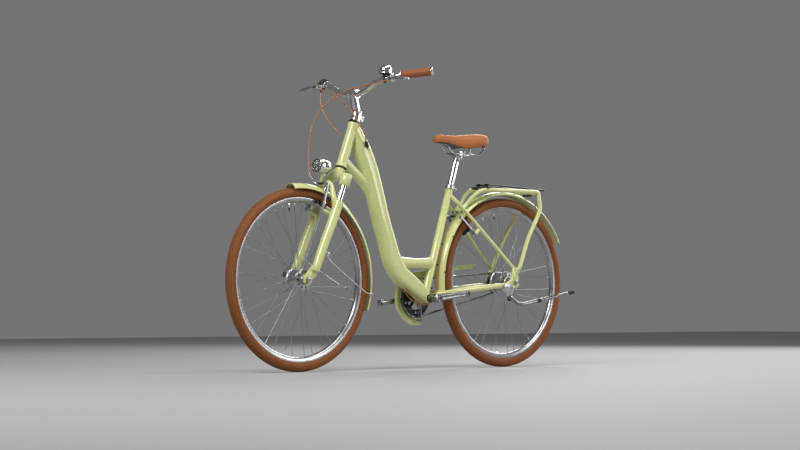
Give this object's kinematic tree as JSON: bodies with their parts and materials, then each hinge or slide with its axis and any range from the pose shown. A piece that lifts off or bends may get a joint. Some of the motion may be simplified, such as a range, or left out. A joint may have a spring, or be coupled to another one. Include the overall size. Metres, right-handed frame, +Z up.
{
  "type": "hybrid bike",
  "caption": "Step-through city bike with a curved main tube, suspension fork, mudguards, rear rack, hub gear, hand brakes and a folding kickstand.",
  "frame": {"origin": "on the floor, midway between the two wheel axles and in the bike's middle plane", "axes": "+X forward, +Y to the rider's left, +Z up"},
  "size_m": [1.831, 0.6746, 1.1894],
  "materials": {
    "paint": "gloss",
    "tyre_rubber": "matt",
    "inner_rubber": "matt",
    "brown_rubber": "satin",
    "saddle_skin": "satin",
    "black_plastic": "matt",
    "black_metal": "satin",
    "polished": "polished",
    "satin": "satin",
    "steel": "satin",
    "chrome": "polished",
    "lens": "faceted, clear",
    "housing": "gloss"
  },
  "bodies": {
    "frame_body": {"frame": "paint", "headset_upper_cup": "black_metal", "headset_lower_cup": "black_metal", "bottom_bracket": "steel", "seat_clamp": "satin", "rear_mudguard": "paint", "rear_rack": "paint", "chain_guard": "paint", "chain": "steel", "kickstand_bracket": "paint", "rear_brake_cable": "housing", "shift_cable": "housing", "rear_axle": "steel"},
    "steering_body": {"fork_upper": "paint", "stem": "polished", "handlebar": "satin", "grip_left": "brown_rubber", "grip_right": "brown_rubber", "brake_perch_left": "black_metal", "brake_perch_right": "black_metal", "shifter_body": "black_plastic", "bell": "chrome"},
    "fork_lower_body": {"fork_lowers": "paint", "front_mudguard": "paint", "front_mudguard_stay": "steel", "front_axle": "steel", "headlamp": "chrome", "headlamp_lens": "lens", "front_brake_cable": "housing"},
    "front_wheel": {"front_tyre": "tyre_rubber", "front_inner_tube": "inner_rubber", "front_rim": "polished", "front_hub": "satin", "front_spokes_left": "steel", "front_spokes_right": "steel"},
    "rear_wheel": {"rear_tyre": "tyre_rubber", "rear_inner_tube": "inner_rubber", "rear_rim": "polished", "rear_hub": "satin", "rear_spokes_left": "steel", "rear_spokes_right": "steel"},
    "sprocket_body": {"rear_sprocket": "steel"},
    "crankset": {"crank_spindle": "steel", "crank_left": "polished", "crank_right": "polished", "chainring": "satin"},
    "left_lever": {"brake_lever_left": "satin"},
    "right_lever": {"brake_lever_right": "satin"},
    "front_arm_left": {"front_brake_arm_left": "satin"},
    "front_arm_right": {"front_brake_arm_right": "satin"},
    "rear_arm_left": {"rear_brake_arm_left": "satin"},
    "rear_arm_right": {"rear_brake_arm_right": "satin"},
    "twist_grip": {"shifter_grip": "black_plastic"},
    "bell_thumb_lever": {"bell_lever": "black_plastic"},
    "kickstand": {"kickstand_leg": "steel"},
    "rack_spring_clip": {"rack_clip": "black_metal"},
    "saddle": {"seatpost": "polished", "saddle_rails": "steel", "saddle_base": "black_plastic", "saddle_cover": "saddle_skin"}
  },
  "joints": [
    {"name": "steering", "type": "hinge", "parent": "frame_body", "child": "steering_body", "pos_m": [0.34648, 0, 0.79498], "axis": [-0.3665, 0, 0.9304], "range_deg": [-60, 60], "deforming": ["rear_brake_cable", "shift_cable"]},
    {"name": "fork_travel", "type": "slide", "parent": "steering_body", "child": "fork_lower_body", "axis": [-0.3665, 0, 0.9304], "range_m": [0, 0.04], "stiffness_N_per_m": 8000, "springref_m": -0.02, "deforming": ["front_brake_cable"]},
    {"name": "front_wheel_spin", "type": "hinge", "parent": "fork_lower_body", "child": "front_wheel", "pos_m": [0.5625, 0, 0.353], "axis": [0, 1, 0], "continuous": true},
    {"name": "rear_wheel_spin", "type": "hinge", "parent": "frame_body", "child": "rear_wheel", "pos_m": [-0.5625, 0, 0.353], "axis": [0, 1, 0], "continuous": true},
    {"name": "crank_spin", "type": "hinge", "parent": "frame_body", "child": "crankset", "pos_m": [-0.10695, 0, 0.285], "axis": [0, 1, 0], "continuous": true},
    {"name": "sprocket_spin", "type": "hinge", "parent": "frame_body", "child": "sprocket_body", "pos_m": [-0.5625, 0, 0.353], "axis": [0, 1, 0], "continuous": true},
    {"name": "brake_lever_left_pull", "type": "hinge", "parent": "steering_body", "child": "left_lever", "pos_m": [0.28557, 0.21367, 1.13176], "axis": [0, 0, 1], "range_deg": [0, 20], "stiffness_Nm_per_rad": 0.8, "springref_deg": -17.19},
    {"name": "brake_lever_right_pull", "type": "hinge", "parent": "steering_body", "child": "right_lever", "pos_m": [0.28557, -0.21367, 1.13176], "axis": [0, 0, -1], "range_deg": [0, 20], "stiffness_Nm_per_rad": 0.8, "springref_deg": -17.19},
    {"name": "front_brake_arm_left_swing", "type": "hinge", "parent": "fork_lower_body", "child": "front_arm_left", "pos_m": [0.48438, 0.043, 0.625], "axis": [0.9304, 0, 0.3665], "range_deg": [0, 3]},
    {"name": "front_brake_arm_right_swing", "type": "hinge", "parent": "fork_lower_body", "child": "front_arm_right", "pos_m": [0.48438, -0.043, 0.625], "axis": [-0.9304, 0, -0.3665], "range_deg": [0, 3]},
    {"name": "rear_brake_arm_left_swing", "type": "hinge", "parent": "frame_body", "child": "rear_arm_left", "pos_m": [-0.3562, 0.043, 0.54673], "axis": [0.6845, 0, -0.729], "range_deg": [0, 3]},
    {"name": "rear_brake_arm_right_swing", "type": "hinge", "parent": "frame_body", "child": "rear_arm_right", "pos_m": [-0.3562, -0.043, 0.54673], "axis": [-0.6845, 0, 0.729], "range_deg": [0, 3]},
    {"name": "shifter_twist", "type": "hinge", "parent": "steering_body", "child": "twist_grip", "pos_m": [0.23999, -0.218, 1.14592], "axis": [-0.5773, -0.8097, 0.105], "range_deg": [0, 110]},
    {"name": "bell_lever_flick", "type": "hinge", "parent": "steering_body", "child": "bell_thumb_lever", "pos_m": [0.26372, 0.16567, 1.15841], "axis": [0, 0, 1], "range_deg": [0, 25], "stiffness_Nm_per_rad": 0.05, "springref_deg": -17.19},
    {"name": "kickstand_swing", "type": "hinge", "parent": "frame_body", "child": "kickstand", "pos_m": [-0.523, 0.0905, 0.289], "axis": [0, -0.9182, -0.3961], "range_deg": [0, 124]},
    {"name": "rack_clip_lift", "type": "hinge", "parent": "frame_body", "child": "rack_spring_clip", "pos_m": [-0.445, 0, 0.758], "axis": [0, 1, 0], "range_deg": [0, 80], "stiffness_Nm_per_rad": 0.8, "springref_deg": -22.92},
    {"name": "seatpost_height", "type": "slide", "parent": "frame_body", "child": "saddle", "axis": [-0.3057, 0, 0.9521], "range_m": [-0.08, 0.05]}
  ],
  "couplings": [
    {"joint": "sprocket_spin", "follows": "crank_spin", "ratio": 1.9},
    {"joint": "front_brake_arm_left_swing", "follows": "brake_lever_left_pull", "ratio": 0.143},
    {"joint": "front_brake_arm_right_swing", "follows": "brake_lever_left_pull", "ratio": 0.143},
    {"joint": "rear_brake_arm_left_swing", "follows": "brake_lever_right_pull", "ratio": 0.143},
    {"joint": "rear_brake_arm_right_swing", "follows": "brake_lever_right_pull", "ratio": 0.143}
  ]
}
